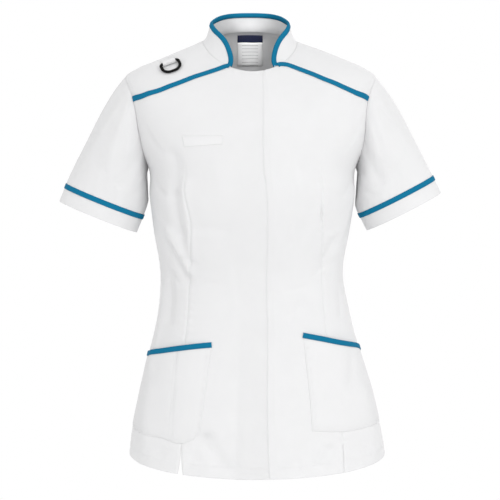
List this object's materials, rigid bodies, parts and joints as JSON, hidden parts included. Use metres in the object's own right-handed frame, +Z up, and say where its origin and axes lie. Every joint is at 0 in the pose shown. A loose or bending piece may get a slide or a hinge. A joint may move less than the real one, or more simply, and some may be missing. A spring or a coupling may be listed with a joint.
{
  "type": "medical tunic",
  "caption": "Short-sleeved women's medical tunic with stand collar, contrast bindings, hip pockets and a watch ring on the shoulder, filled out as worn.",
  "frame": {"origin": "inside the neck, at the level of the neck points and on the middle line of the garment, where the wearer's shoulders hold it up", "axes": "+Z up, -Y towards the front, +X towards the wearer's left"},
  "size_m": [0.6085, 0.2447, 0.7284],
  "materials": {
    "white_cloth": "plain weave",
    "teal_binding": "plain weave",
    "navy_label": "woven satin",
    "white_label": "woven satin",
    "black_plastic": "satin"
  },
  "bodies": {
    "tunic": {"back": "white_cloth", "front_right": "white_cloth", "front_left": "white_cloth", "yoke_right": "white_cloth", "yoke_left": "white_cloth", "sleeve_right": "white_cloth", "sleeve_left": "white_cloth", "cuff_right": "white_cloth", "cuff_left": "white_cloth", "collar": "white_cloth", "pocket_right": "white_cloth", "pocket_left": "white_cloth", "chest_pocket_welt": "white_cloth", "ring_tab": "white_cloth", "yoke_band_right": "teal_binding", "yoke_band_left": "teal_binding", "cuff_band_right": "teal_binding", "cuff_band_left": "teal_binding", "collar_binding": "teal_binding", "pocket_band_right": "teal_binding", "pocket_band_left": "teal_binding", "label_band": "navy_label", "label_body": "white_label"},
    "ring": {"fob_ring": "black_plastic"}
  },
  "joints": [
    {"name": "ring_swing", "type": "hinge", "parent": "tunic", "child": "ring", "pos_m": [-0.12436, -0.0435, -0.03651], "axis": [-0.9254, -0.1331, -0.3548], "range_deg": [0, 150]}
  ]
}
